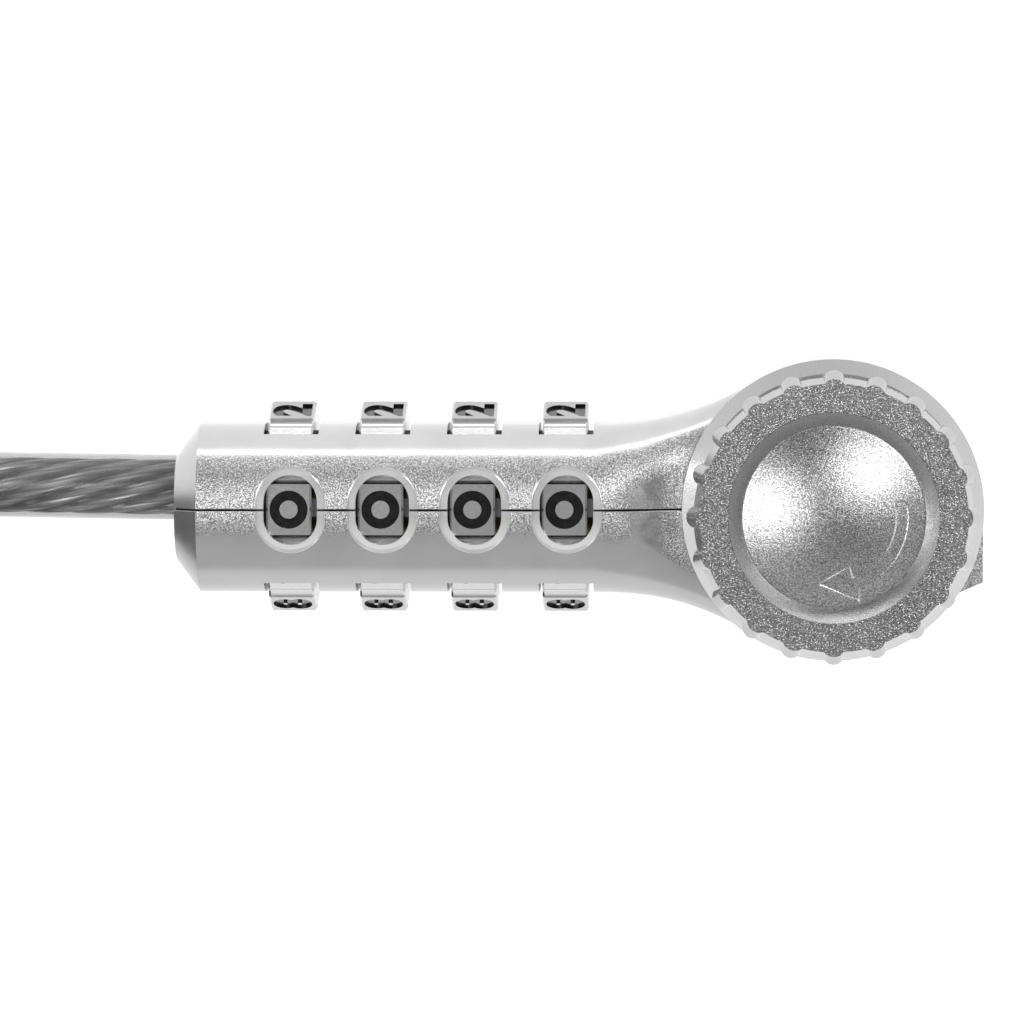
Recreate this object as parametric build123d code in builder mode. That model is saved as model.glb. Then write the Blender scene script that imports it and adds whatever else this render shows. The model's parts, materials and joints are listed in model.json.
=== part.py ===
"""Combination cable lock for a laptop: a two-part barrel with four number dials, a round head
with a turning knob over a T-bar, and a steel cable that ends in a crimped loop.

Frame: millimetres. The origin is on the knob's axis at the tip of the T-bar, +Z runs up that
axis to the knob, and the barrel and its cable run towards -X.
"""

from build123d import *
from math import acos, atan2, cos, degrees, hypot, pi, radians, sin, sqrt, tan
import os

os.makedirs("parts", exist_ok=True)

# Barrel and head
AXIS_Y = 0.5  # the barrel's axis stands this far beside the knob's axis
AXIS_Z = 14.2  # and this far above the T-bar's tip
END_X = -55.2
CONE_LENGTH = 2.0
CONE_DROP = 2.7
HALF_WIDTH = 7.1
HALF_DEPTH = 10.2
CORNER_R = 6.9
HEAD_R = 12.55
HEAD_HALF = 7.5
HEAD_CHAMFER = 0.4
NECK_R = 23.2
SHOULDER_X = -20.0
CAVITY_R = 10.6
CAVITY_FLOOR = 8.7

# Dials
DIAL_X = [-45.5, -37.81, -30.12, -22.43]
DIAL_APOTHEM = 8.62
DIAL_WIDTH = 3.8
NOTCH_R = 0.72
NOTCH_CENTRE = 9.2
DIAL_POCKET = 3.2
DIAL_CHAMFER = 0.16
RING_APOTHEM = 5.6
RING_WIDTH = 3.0
CHAMBER_R = 9.1
CHAMBER_WIDTH = 4.6
WINDOW_SHIFT = 0.2
WINDOW_WIDTH = 4.5
WINDOW_LENGTH = 5.85
LEDGE_WIDTH = 5.8
LEDGE_LENGTH = 7.2
LEDGE_DEPTH = 0.3

# Lockwork along the barrel
TUBE_R = 4.1
TUBE_BORE = 2.9
TUBE_START = -48.6
TUBE_END = -16.6
ROD_R = 2.84
LUG_R = 4.95
LUG_WIDTH = 1.7
LUG_LENGTH = 1.5
BOLT_TRAVEL = 2.0
CAM_R = 4.0
CAM_RISE = BOLT_TRAVEL / (pi / 2)
CAM_GAP = 0.12

# Knob, collar and spindle
COLLAR_R = 12.6
COLLAR_BOTTOM = 21.7
COLLAR_TOP = 23.2
COLLAR_DROP = 0.5  # how far the collar's upper face falls away over its tapered rim
COLLAR_TAPER = 1.2
KNOB_BOTTOM = 23.35
KNOB_TOP = 27.2
KNOB_BEVEL = 1.4
TEETH = 20
TOOTH_HALF = 4.3  # degrees from a tooth's middle to its foot
SIDE_TIP_R = 12.25
SIDE_GAP_R = 11.64
TOP_TIP_R = 11.5
TOP_GAP_R = 11.14
RECESS_R = 8.78
RECESS_DEPTH = 1.3
DOME_R = 7.58
DOME_SEAT = 25.3
DOME_TOP = 27.35
HUB_R = 3.9
TBAR_LENGTH = 6.5
TBAR_WIDTH = 2.7
TBAR_THICK = 1.6
NECK_PIN_R = 1.3
NOSE_FACE = 3.5
NOSE_R = 5.5

# Cable
CABLE_D = 5.5
CABLE_Y = AXIS_Y + 1.65
CABLE_START = -53.4
FERRULE_R = 3.6
FERRULE_END = -49.4
TURN_PITCH = 5.55  # from turn to turn in the coil, a little over the cable's thickness
COIL_R = 28.0  # mean radius of the bundle of turns
COIL_WIDE = 2
COIL_HIGH = 6
COIL_CENTRE_X = -111.0
TIE_THICK = 0.6
TIE_SPAN = 18  # degrees of the coil that each tie covers
TIE_ANGLES = [8, 196]
SLEEVE_X = -137.2
SLEEVE_LENGTH = 15.0
SLEEVE_HEIGHT = 6.4
EYE_R = 16.0
EYE_REACH = 32.0

AXIS = Plane(origin=(0, AXIS_Y, AXIS_Z), x_dir=(0, 1, 0), z_dir=(1, 0, 0))
SPLIT = Plane(origin=(0, AXIS_Y, AXIS_Z), x_dir=(1, 0, 0), z_dir=(0, 1, 0))


def level(z, x=0.0, y=0.0):
    """A horizontal plane at height z, centred at x and y."""
    return Plane(origin=(x, y, z), x_dir=(1, 0, 0), z_dir=(0, 0, 1))


def save(piece, name):
    """Label a finished piece and write it to its own STEP file."""
    piece.part.label = name
    export_step(piece.part, f"parts/{name}.step")


# ---------------------------------------------------------------- barrel and head shells

neck_x = -sqrt((NECK_R + HEAD_R) ** 2 - (HALF_WIDTH + NECK_R) ** 2)
tangent_x = neck_x * HEAD_R / (NECK_R + HEAD_R)


def neck_section(x):
    """Half width, half depth and corner radius of the neck at X = x."""
    share = (x - SHOULDER_X) / (tangent_x - SHOULDER_X)
    drop = min(1.0, (x - SHOULDER_X) / 8.5)
    smooth = drop * drop * (3 - 2 * drop)
    width = HALF_WIDTH
    if x > neck_x:
        width = HALF_WIDTH + NECK_R - sqrt(NECK_R**2 - (x - neck_x) ** 2)
    depth = HALF_DEPTH - (HALF_DEPTH - HEAD_HALF) * smooth
    return width, depth, CORNER_R - (CORNER_R - 2.6) * share**0.8


def on_head_rim(edge):
    """True for the round lower edge of the head."""
    middle = edge @ 0.5
    low = abs(middle.Z - AXIS_Z + HEAD_HALF) < 0.001
    return low and edge.geom_type == GeomType.CIRCLE


with BuildPart() as window_ledges:
    for x in DIAL_X:
        with BuildSketch(level(AXIS_Z + 8.0, x + WINDOW_SHIFT, AXIS_Y)):
            SlotOverall(LEDGE_LENGTH, LEDGE_WIDTH, rotation=90)
        extrude(amount=3)
    with BuildSketch(AXIS.offset(END_X)):
        RectangleRounded(
            2 * (HALF_WIDTH - LEDGE_DEPTH), 2 * (HALF_DEPTH - LEDGE_DEPTH), CORNER_R - LEDGE_DEPTH
        )
    extrude(amount=SHOULDER_X - END_X + 10, mode=Mode.SUBTRACT)

with BuildPart() as body:
    # Barrel, its coned end and the neck
    with BuildSketch(AXIS.offset(END_X + CONE_LENGTH)):
        RectangleRounded(2 * HALF_WIDTH, 2 * HALF_DEPTH, CORNER_R)
    extrude(amount=SHOULDER_X - END_X - CONE_LENGTH)
    with BuildSketch(AXIS.offset(END_X)):
        RectangleRounded(
            2 * (HALF_WIDTH - CONE_DROP), 2 * (HALF_DEPTH - CONE_DROP), CORNER_R - CONE_DROP
        )
    with BuildSketch(AXIS.offset(END_X + CONE_LENGTH)):
        RectangleRounded(2 * HALF_WIDTH, 2 * HALF_DEPTH, CORNER_R)
    loft(ruled=True)
    for step in range(7):
        station = SHOULDER_X + (tangent_x - SHOULDER_X) * step / 6
        width, depth, corner = neck_section(station)
        with BuildSketch(AXIS.offset(station)):
            RectangleRounded(2 * width, 2 * depth, corner)
    loft()
    # Head
    with BuildSketch(level(AXIS_Z - HEAD_HALF, 0, AXIS_Y)):
        Circle(HEAD_R)
    extrude(amount=2 * HEAD_HALF)
    chamfer(edges().filter_by(on_head_rim), length=HEAD_CHAMFER)
    with BuildSketch(level(COLLAR_BOTTOM, 0, AXIS_Y)):
        Circle(COLLAR_R + 0.03)
    extrude(amount=5, mode=Mode.SUBTRACT)
    # Dial chambers, which break out through both sides
    for x in DIAL_X:
        with BuildSketch(AXIS.offset(x + WINDOW_SHIFT / 2 - CHAMBER_WIDTH / 2)):
            Circle(CHAMBER_R)
        extrude(amount=CHAMBER_WIDTH, mode=Mode.SUBTRACT)
    # Windows over the dials
    for x in DIAL_X:
        with BuildSketch(level(AXIS_Z + 8.0, x + WINDOW_SHIFT, AXIS_Y)):
            SlotOverall(WINDOW_LENGTH, WINDOW_WIDTH, rotation=90)
        extrude(amount=3, mode=Mode.SUBTRACT)
    # A shallow ledge round each window, which follows the barrel's surface
    add(window_ledges.part, mode=Mode.SUBTRACT)
    # Bore of the dial tube, with the channel for the bolt's lugs along its back
    with BuildSketch(AXIS.offset(TUBE_START)):
        Circle(TUBE_R + 0.02)
        with Locations((0, -LUG_R / 2)):
            Rectangle(LUG_WIDTH + 0.5, LUG_R + 0.4)
    extrude(amount=TUBE_END - TUBE_START, mode=Mode.SUBTRACT)
    with BuildSketch(AXIS.offset(TUBE_END)):
        Circle(ROD_R + 0.08)
    extrude(amount=-TUBE_END - 5.0, mode=Mode.SUBTRACT)
    # Cavity of the head and the hole for its nose
    with BuildSketch(level(CAVITY_FLOOR, 0, AXIS_Y)):
        Circle(CAVITY_R)
    extrude(amount=20, mode=Mode.SUBTRACT)
    with BuildSketch(level(0)):
        Circle(NOSE_R)
    extrude(amount=CAVITY_FLOOR, mode=Mode.SUBTRACT)
    # Cable hole and the pocket for its ferrule
    with BuildSketch(AXIS.offset(END_X - 1)):
        with Locations((CABLE_Y - AXIS_Y, 0)):
            Circle(CABLE_D / 2 + 0.1)
    extrude(amount=3, mode=Mode.SUBTRACT)
    with BuildSketch(AXIS.offset(CABLE_START)):
        with Locations((CABLE_Y - AXIS_Y, 0)):
            Circle(FERRULE_R + 0.02)
    extrude(amount=FERRULE_END - CABLE_START, mode=Mode.SUBTRACT)

# Dowels across the split, and the holes that they sit in
DOWELS = [(-51.6, 7.2), (-51.6, -7.2), (-33.97, -7.6), (-17.0, 6.4), (-17.0, -6.4)]
DOWEL_R = 0.7

with BuildPart() as shell_dowels:
    with BuildSketch(SPLIT.offset(-3)):
        with Locations([(x, -z) for x, z in DOWELS]):
            Circle(DOWEL_R)
    extrude(amount=6)

with BuildPart() as dowel_holes:
    with BuildSketch(SPLIT.offset(-3)):
        with Locations([(x, -z) for x, z in DOWELS]):
            Circle(DOWEL_R + 0.02)
    extrude(amount=6)

# Rivets that tie the collar to the wall of the head
RIVET_ANGLES = [45, 135, 225, 315]
RIVET_R = 0.6
RIVET_RING = 11.55

with BuildPart() as collar_rivets:
    with BuildSketch(level(17.2, 0, AXIS_Y)):
        with Locations([(RIVET_RING * cos(radians(a)), RIVET_RING * sin(radians(a)))
                        for a in RIVET_ANGLES]):
            Circle(RIVET_R)
    extrude(amount=5.4)

with BuildPart() as rivet_holes:
    with BuildSketch(level(17.2, 0, AXIS_Y)):
        with Locations([(RIVET_RING * cos(radians(a)), RIVET_RING * sin(radians(a)))
                        for a in RIVET_ANGLES]):
            Circle(RIVET_R + 0.02)
    extrude(amount=5.4)

SEAM = 0.12  # chamfer of both shells along the split


def on_seam(edge):
    """True for a shell's outer edges along the split, from the barrel's end to the collar."""
    middle = edge @ 0.5
    height = abs(middle.Z - AXIS_Z)
    flat = all(abs((edge @ t).Y - AXIS_Y) < 0.001 for t in (0, 0.5, 1))
    at_end = middle.X < END_X + CONE_LENGTH and height > CABLE_D / 2 + 0.1
    on_barrel = abs(height - HALF_DEPTH) < 0.001
    on_neck = SHOULDER_X + 1 < middle.X < -12.7 and middle.Z > COLLAR_BOTTOM
    return flat and (at_end or on_barrel or on_neck)


with BuildPart() as upper_shell:
    add(body.part)
    split(bisect_by=SPLIT, keep=Keep.TOP)
    chamfer(edges().filter_by(on_seam), length=SEAM)
    add(dowel_holes.part, mode=Mode.SUBTRACT)
    add(rivet_holes.part, mode=Mode.SUBTRACT)

# The lower shell also has the heel lug and the seat of the reset screw
SCREW_X = -51.4
SPOT_R = 2.65
SPOT_FLOOR = -6.0
SCREW_R = 1.8
FLANGE_R = 2.3
SCREW_FRAME = Plane(origin=(SCREW_X, AXIS_Y, AXIS_Z), x_dir=(1, 0, 0), z_dir=(0, 1, 0))

with BuildPart() as lower_shell:
    add(body.part)
    split(bisect_by=SPLIT, keep=Keep.BOTTOM)
    chamfer(edges().filter_by(on_seam), length=SEAM)
    with BuildSketch(level(AXIS_Z - HEAD_HALF, 0, AXIS_Y)):
        with BuildLine():
            Polyline((8, -0.6), (12.65, -0.6), (12.65, -6.2), (11.4, -6.75), (8, -8.2), (8, -0.6))
        make_face()
    extrude(amount=12.4)
    with BuildSketch(level(CAVITY_FLOOR, 0, AXIS_Y)):
        Circle(CAVITY_R)
    extrude(amount=20, mode=Mode.SUBTRACT)
    with BuildSketch(SCREW_FRAME.offset(SPOT_FLOOR)):
        Circle(SPOT_R)
    extrude(amount=-3, mode=Mode.SUBTRACT)
    with BuildSketch(SCREW_FRAME.offset(SPOT_FLOOR)):
        Circle(SCREW_R + 0.05)
    extrude(amount=3, mode=Mode.SUBTRACT)
    with BuildSketch(SCREW_FRAME.offset(-3.9)):
        Circle(FLANGE_R + 0.06)
    extrude(amount=2.4, mode=Mode.SUBTRACT)
    add(dowel_holes.part, mode=Mode.SUBTRACT)
    add(rivet_holes.part, mode=Mode.SUBTRACT)

# ---------------------------------------------------------------- parts of the housing

with BuildPart() as head_collar:
    with BuildSketch(level(20.0, 0, AXIS_Y)):
        Circle(CAVITY_R - 0.04)
    extrude(amount=COLLAR_BOTTOM - 20.0)
    with BuildSketch(level(COLLAR_BOTTOM, 0, AXIS_Y)):
        Circle(COLLAR_R)
    extrude(amount=COLLAR_TOP - COLLAR_BOTTOM)
    chamfer(edges().group_by(Axis.Z)[-1], length=COLLAR_DROP, length2=COLLAR_TAPER)
    with BuildSketch(level(20.0)):
        Circle(HUB_R + 0.06)
    extrude(amount=4, mode=Mode.SUBTRACT)
    with BuildSketch(level(COLLAR_TOP - 0.5)):
        Circle(6.3)
        Circle(4.5, mode=Mode.SUBTRACT)
    extrude(amount=1, mode=Mode.SUBTRACT)
    add(rivet_holes.part, mode=Mode.SUBTRACT)

with BuildPart() as knob_washer:
    with BuildSketch(level(COLLAR_TOP - 0.5)):
        Circle(6.25)
        Circle(4.55, mode=Mode.SUBTRACT)
    extrude(amount=0.58)

with BuildPart() as nose_block:
    with BuildSketch(level(NOSE_FACE)):
        Circle(NOSE_R - 0.03)
    extrude(amount=CAVITY_FLOOR - NOSE_FACE)
    with BuildSketch(level(CAVITY_FLOOR)):
        Circle(7.5)
    extrude(amount=1.5)
    fillet(edges().group_by(Axis.Z)[0], radius=0.4)
    Hole(NECK_PIN_R + 0.06)
    with BuildSketch(level(NOSE_FACE)):
        with Locations((-2.45, 0), (2.45, 0)):
            Circle(0.86)
    extrude(amount=2.0, mode=Mode.SUBTRACT)

with BuildPart() as anchor_pins:
    with BuildSketch(level(TBAR_THICK + 0.15)):
        with Locations((-2.45, 0), (2.45, 0)):
            Circle(0.85)
    extrude(amount=NOSE_FACE + 2.0 - TBAR_THICK - 0.15)

with BuildPart() as dial_tube:
    with BuildSketch(AXIS.offset(TUBE_START)):
        Circle(TUBE_R)
        Circle(TUBE_BORE, mode=Mode.SUBTRACT)
    extrude(amount=TUBE_END - TUBE_START)
    # Slot for the lugs along the back and a flat groove for the detent strip along the front
    with BuildSketch(AXIS.offset(-44.4)):
        with Locations((0, -TUBE_R + 0.4)):
            Rectangle(LUG_WIDTH + 0.2, 2.6)
    extrude(amount=27.5, mode=Mode.SUBTRACT)
    with BuildSketch(AXIS.offset(TUBE_START + 0.6)):
        with Locations((0, 4.65)):
            Rectangle(1.6, 2.0)
    extrude(amount=28.4, mode=Mode.SUBTRACT)

with BuildPart() as detent_spring:
    with BuildSketch(AXIS.offset(TUBE_START + 0.7)):
        with Locations((0, 3.8)):
            Rectangle(1.5, 0.3)
    extrude(amount=28.2)
    for x in DIAL_X:
        with BuildSketch(Plane(origin=(x - 0.2, AXIS_Y, AXIS_Z), x_dir=(1, 0, 0), z_dir=(0, -1, 0))):
            with BuildLine():
                ThreePointArc((-0.8, 3.9), (0, 4.08), (0.8, 3.9))
                Line((0.8, 3.9), (-0.8, 3.9))
            make_face()
        extrude(amount=0.5, both=True)

with BuildPart() as spring_stop:
    with BuildSketch(AXIS.offset(TUBE_START)):
        Circle(TUBE_BORE - 0.02)
    extrude(amount=1.2)

SPRING_START = TUBE_START + 1.2
ROD_START = -43.0
SPRING_WIRE = 0.5

with BuildPart() as bolt_spring:
    with BuildLine():
        coil_line = Helix(
            pitch=1.0,
            height=ROD_START - SPRING_START - 0.62,
            radius=2.2,
            center=(SPRING_START + 0.31, AXIS_Y, AXIS_Z),
            direction=(1, 0, 0),
        )
    with BuildSketch(Plane(origin=coil_line @ 0, z_dir=coil_line % 0)):
        Circle(SPRING_WIRE / 2)
    sweep()

with BuildPart() as cable_ferrule:
    with BuildSketch(AXIS.offset(CABLE_START)):
        with Locations((CABLE_Y - AXIS_Y, 0)):
            Circle(FERRULE_R)
    extrude(amount=FERRULE_END - CABLE_START)
    chamfer(edges().group_by(Axis.X)[-1], length=0.4)

# ---------------------------------------------------------------- dials and gate rings

dials = []
gate_rings = []
for x in DIAL_X:
    with BuildPart() as dial:
        with BuildSketch(AXIS.offset(x - DIAL_WIDTH / 2)):
            RegularPolygon(DIAL_APOTHEM, 10, major_radius=False)
            with PolarLocations(NOTCH_CENTRE, 10):
                Circle(NOTCH_R, mode=Mode.SUBTRACT)
        extrude(amount=DIAL_WIDTH)
        chamfer(edges().filter_by(Axis.X, reverse=True), length=DIAL_CHAMFER)
        with BuildSketch(AXIS.offset(x - DIAL_WIDTH / 2)):
            RegularPolygon(RING_APOTHEM, 10, major_radius=False)
        extrude(amount=DIAL_POCKET, mode=Mode.SUBTRACT)
        with BuildSketch(AXIS.offset(x)):
            Circle(LUG_R + 0.15)
        extrude(amount=DIAL_WIDTH, mode=Mode.SUBTRACT)
    dials.append(dial)
    with BuildPart() as gate_ring:
        with BuildSketch(AXIS.offset(x - DIAL_WIDTH / 2 + DIAL_POCKET - RING_WIDTH)):
            RegularPolygon(RING_APOTHEM - 0.02, 10, major_radius=False)
            Circle(TUBE_R + 0.06, mode=Mode.SUBTRACT)
            with PolarLocations(TUBE_R + 0.06, 9, start_angle=-54, angular_range=324):
                Circle(0.4, mode=Mode.SUBTRACT)
            with Locations((0, -LUG_R / 2 - 0.1)):
                Rectangle(LUG_WIDTH + 0.4, LUG_R, mode=Mode.SUBTRACT)
        extrude(amount=RING_WIDTH)
    gate_rings.append(gate_ring)

# ---------------------------------------------------------------- bolt, cam, spindle and knob

NOSE_TIP_X = -(CAM_R + CAM_GAP)

with BuildPart() as locking_bolt:
    with BuildSketch(AXIS.offset(ROD_START)):
        Circle(ROD_R)
    extrude(amount=-10.6 - ROD_START)
    for x in DIAL_X:
        lug_start = x - DIAL_WIDTH / 2 + DIAL_POCKET + 0.3 + BOLT_TRAVEL
        with BuildSketch(AXIS.offset(lug_start)):
            with Locations((0, -LUG_R / 2)):
                Rectangle(LUG_WIDTH, LUG_R)
        extrude(amount=LUG_LENGTH)
    with BuildSketch(level(AXIS_Z - 1.6)):
        with BuildLine():
            Line((-12, 0.6), (NOSE_TIP_X - 0.6, 0.6))
            ThreePointArc((NOSE_TIP_X - 0.6, 0.6), (NOSE_TIP_X, 0), (NOSE_TIP_X - 0.6, -0.6))
            Line((NOSE_TIP_X - 0.6, -0.6), (-12, -0.6))
            Line((-12, -0.6), (-12, 0.6))
        make_face()
    extrude(amount=3.2)

# The knob turns clockwise seen from above, so the cam's radius grows anticlockwise from -X
CAM_FLAT = 2.0
CAM_BOTTOM = 12.4
CAM_HEIGHT = 3.6


def cam_point(turn):
    """A point of the cam's spiral, turn degrees past the one that faces the bolt."""
    radius = CAM_R + CAM_RISE * radians(turn)
    return radius * cos(radians(180 + turn)), radius * sin(radians(180 + turn))


with BuildPart() as lock_cam:
    with BuildSketch(level(CAM_BOTTOM)):
        with BuildLine():
            Spline([cam_point(turn) for turn in range(-20, 111, 10)])
            Line(cam_point(110), (2.6, -1.5))
            ThreePointArc((2.6, -1.5), (2.2, 2.4), (-0.6, 3.2))
            Line((-0.6, 3.2), cam_point(-20))
        make_face()
    extrude(amount=CAM_HEIGHT)
    with BuildSketch(level(CAM_BOTTOM)):
        Circle(2.62)
        with Locations((0, CAM_FLAT + 5)):
            Rectangle(10, 10, mode=Mode.SUBTRACT)
    extrude(amount=CAM_HEIGHT, mode=Mode.SUBTRACT)

with BuildPart() as spindle:
    with BuildSketch(level(0)):
        RectangleRounded(TBAR_LENGTH, TBAR_WIDTH, 0.7)
    extrude(amount=TBAR_THICK)
    with BuildSketch(level(TBAR_THICK)):
        Circle(NECK_PIN_R)
    extrude(amount=8.8)
    with BuildSketch(level(10.4)):
        Circle(2.6)
    extrude(amount=6.0)
    # Flat that keys the cam
    with BuildSketch(level(CAM_BOTTOM)):
        with Locations((0, CAM_FLAT + 1)):
            Rectangle(8, 2)
    extrude(amount=CAM_HEIGHT, mode=Mode.SUBTRACT)
    with BuildSketch(level(CAM_BOTTOM + CAM_HEIGHT)):
        Circle(3.4)
    extrude(amount=1.5)
    with BuildSketch(level(CAM_BOTTOM + CAM_HEIGHT + 1.5)):
        Rectangle(3.6, 3.6)
    extrude(amount=5.1)
    with BuildSketch(level(22.6)):
        Circle(1.0)
    extrude(amount=-4.6, mode=Mode.SUBTRACT)

def polar(radius, angle):
    """A point seen from above at a radius and an angle in degrees."""
    return radius * cos(radians(angle)), radius * sin(radians(angle))


def toothed_outline(tip, gap):
    """Round teeth of radius tip on a circle of radius gap, the first one towards +Y."""
    pitch = 360 / TEETH
    for tooth in range(TEETH):
        middle = 90 + pitch * tooth
        start, end = middle - TOOTH_HALF, middle + TOOTH_HALF
        ThreePointArc(polar(gap, start), polar(tip, middle), polar(gap, end))
        ThreePointArc(polar(gap, end), polar(gap, middle + pitch / 2), polar(gap, start + pitch))


with BuildPart() as knob:
    with BuildSketch(level(KNOB_BOTTOM)):
        with BuildLine():
            toothed_outline(SIDE_TIP_R, SIDE_GAP_R)
        make_face()
    extrude(amount=KNOB_TOP - KNOB_BOTTOM - KNOB_BEVEL)
    with BuildSketch(level(KNOB_TOP - KNOB_BEVEL)):
        with BuildLine():
            toothed_outline(SIDE_TIP_R, SIDE_GAP_R)
        make_face()
    with BuildSketch(level(KNOB_TOP)):
        with BuildLine():
            toothed_outline(TOP_TIP_R, TOP_GAP_R)
        make_face()
    loft(ruled=True)
    # Coned recess and the seat of the cap
    with Locations((0, 0, KNOB_TOP - RECESS_DEPTH)):
        Cone(
            DOME_R + 0.05,
            RECESS_R,
            RECESS_DEPTH,
            align=(Align.CENTER, Align.CENTER, Align.MIN),
            mode=Mode.SUBTRACT,
        )
    with BuildSketch(level(DOME_SEAT)):
        Circle(DOME_R + 0.05)
    extrude(amount=1, mode=Mode.SUBTRACT)
    with BuildSketch(level(DOME_SEAT - 0.6)):
        Circle(4.55)
    extrude(amount=1, mode=Mode.SUBTRACT)
    # Hub through the collar, with a groove for its clip
    with BuildSketch(level(18.6)):
        Circle(HUB_R)
    extrude(amount=KNOB_BOTTOM - 18.6)
    with BuildSketch(level(19.2)):
        Circle(HUB_R + 1)
        Circle(3.4, mode=Mode.SUBTRACT)
    extrude(amount=0.62, mode=Mode.SUBTRACT)
    # Square socket, screw hole and counterbore
    with BuildSketch(level(18.6)):
        Rectangle(3.64, 3.64)
    extrude(amount=4.05, mode=Mode.SUBTRACT)
    with BuildSketch(level(18.6)):
        Circle(1.3)
    extrude(amount=5, mode=Mode.SUBTRACT)
    with BuildSketch(level(23.45)):
        Circle(2.5)
    extrude(amount=2, mode=Mode.SUBTRACT)

with BuildPart() as spindle_clip:
    with BuildSketch(level(19.21)):
        Circle(5.4)
        Circle(3.42, mode=Mode.SUBTRACT)
        with Locations((4.5, 0)):
            Rectangle(5, 4.4, mode=Mode.SUBTRACT)
    extrude(amount=0.6)

with BuildPart() as knob_screw:
    with BuildSketch(level(18.2)):
        Circle(0.98)
    extrude(amount=5.25)
    with BuildSketch(level(23.45)):
        Circle(2.4)
    extrude(amount=0.85)
    with BuildSketch(level(23.9)):
        RegularPolygon(0.9, 6)
    extrude(amount=1, mode=Mode.SUBTRACT)

# Domed cap with a clockwise arrow cut into it, to an even depth under the dome's surface
DOME_EDGE = KNOB_TOP - RECESS_DEPTH + 0.05
dome_rise = DOME_TOP - DOME_EDGE
dome_sphere = (DOME_R**2 + dome_rise**2) / (2 * dome_rise)
ARROW_DEPTH = 0.3
ARROW_RIM = 0.15


def on_arrow_rim(edge):
    """True for the rim of the arrow in the dome's surface."""
    middle = edge @ 0.5
    from_axis = hypot(middle.X, middle.Y)
    from_centre = hypot(from_axis, middle.Z - DOME_TOP + dome_sphere)
    return from_axis < DOME_R - 0.2 and abs(from_centre - dome_sphere) < 0.002


with BuildPart() as arrow_cut:
    with BuildSketch(level(DOME_SEAT)):
        with BuildLine():
            ThreePointArc(polar(6.2, 9), polar(5.72, 13.8), polar(5.25, 9))
            ThreePointArc(polar(5.25, 9), polar(5.25, -30), polar(5.3, -73.5))
            Line(polar(5.3, -73.5), polar(4.3, -73.2))
            Line(polar(4.3, -73.2), polar(5.68, -102))
            Line(polar(5.68, -102), polar(7.2, -73.7))
            Line(polar(7.2, -73.7), polar(6.2, -70.5))
            ThreePointArc(polar(6.2, -70.5), polar(6.2, -30), polar(6.2, 9))
        make_face()
    extrude(amount=4)
    with Locations((0, 0, DOME_TOP - dome_sphere)):
        Sphere(dome_sphere - ARROW_DEPTH, mode=Mode.SUBTRACT)

with BuildPart() as knob_cap:
    with BuildSketch(Plane.XZ):
        with BuildLine():
            Polyline((0, DOME_TOP), (0, DOME_SEAT - 0.55), (4.5, DOME_SEAT - 0.55),
                     (4.5, DOME_SEAT), (DOME_R, DOME_SEAT), (DOME_R, DOME_EDGE))
            RadiusArc((DOME_R, DOME_EDGE), (0, DOME_TOP), -dome_sphere)
        make_face()
    revolve(axis=Axis.Z)
    add(arrow_cut.part, mode=Mode.SUBTRACT)
    chamfer(edges().filter_by(on_arrow_rim), length=ARROW_RIM)

# ---------------------------------------------------------------- reset screw

with BuildPart() as reset_screw:
    with BuildSketch(SCREW_FRAME.offset(SPOT_FLOOR + 0.1)):
        Circle(SCREW_R)
    extrude(amount=2.2)
    with BuildSketch(SCREW_FRAME.offset(-3.8)):
        Circle(FLANGE_R)
    extrude(amount=0.8)
    with BuildSketch(SCREW_FRAME.offset(SPOT_FLOOR + 0.1)):
        Rectangle(2.8, 0.7)
    extrude(amount=0.7, mode=Mode.SUBTRACT)

# ---------------------------------------------------------------- cable, coil and loop

outer_column = COIL_R + TURN_PITCH / 2
coil_y = CABLE_Y - outer_column  # the cable joins the outer column of turns in line
coil_width = COIL_WIDE * TURN_PITCH
coil_height = COIL_HIGH * TURN_PITCH
coil_outer = COIL_R + coil_width / 2
first_layer = TIE_THICK + TURN_PITCH / 2
second_layer = first_layer + TURN_PITCH
reach = sqrt(coil_outer**2 - (outer_column - CABLE_D / 2) ** 2)
LEAD_END = COIL_CENTRE_X + reach + 0.6

# From the ferrule straight out, then gently down to the second layer of the coil
ROUTE = [
    (CABLE_START, CABLE_Y, AXIS_Z),
    (-65.0, CABLE_Y, AXIS_Z),
    (-80.4, CABLE_Y, second_layer),
    (LEAD_END, CABLE_Y, second_layer),
]
runs = [Vector(*ROUTE[i + 1]) - Vector(*ROUTE[i]) for i in range(len(ROUTE) - 1)]
radii = []
for before, after in zip(runs, runs[1:]):
    half_turn = radians(before.get_angle(after)) / 2
    radii.append(0.45 * min(before.length, after.length) / tan(half_turn))

with BuildPart() as cable:
    with BuildLine() as cable_line:
        FilletPolyline(*ROUTE, radius=radii)
    with BuildSketch(Plane(origin=ROUTE[0], z_dir=(-1, 0, 0))):
        Circle(CABLE_D / 2)
    sweep()

# Half of the coil's section stands in this plane, its local X running out along the radius
COIL_FRAME = Plane(origin=(COIL_CENTRE_X, coil_y, 0), x_dir=(0, 1, 0), z_dir=(1, 0, 0))
COIL_AXIS = Axis((COIL_CENTRE_X, coil_y, 0), (0, 0, 1))

with BuildPart() as cable_coil:
    with BuildSketch(COIL_FRAME):
        with Locations((COIL_R, TIE_THICK + coil_height / 2)):
            RectangleRounded(coil_width, coil_height, 2.6)
    revolve(axis=COIL_AXIS)
    # The first turn comes in on the second layer, and the last leaves along the floor
    with BuildSketch(Plane(origin=(LEAD_END, CABLE_Y, second_layer), z_dir=(-1, 0, 0))):
        Circle(CABLE_D / 2)
    extrude(amount=reach)
    with BuildSketch(Plane(origin=(SLEEVE_X, CABLE_Y, first_layer), z_dir=(1, 0, 0))):
        Circle(CABLE_D / 2)
    extrude(amount=COIL_CENTRE_X - SLEEVE_X)

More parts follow.
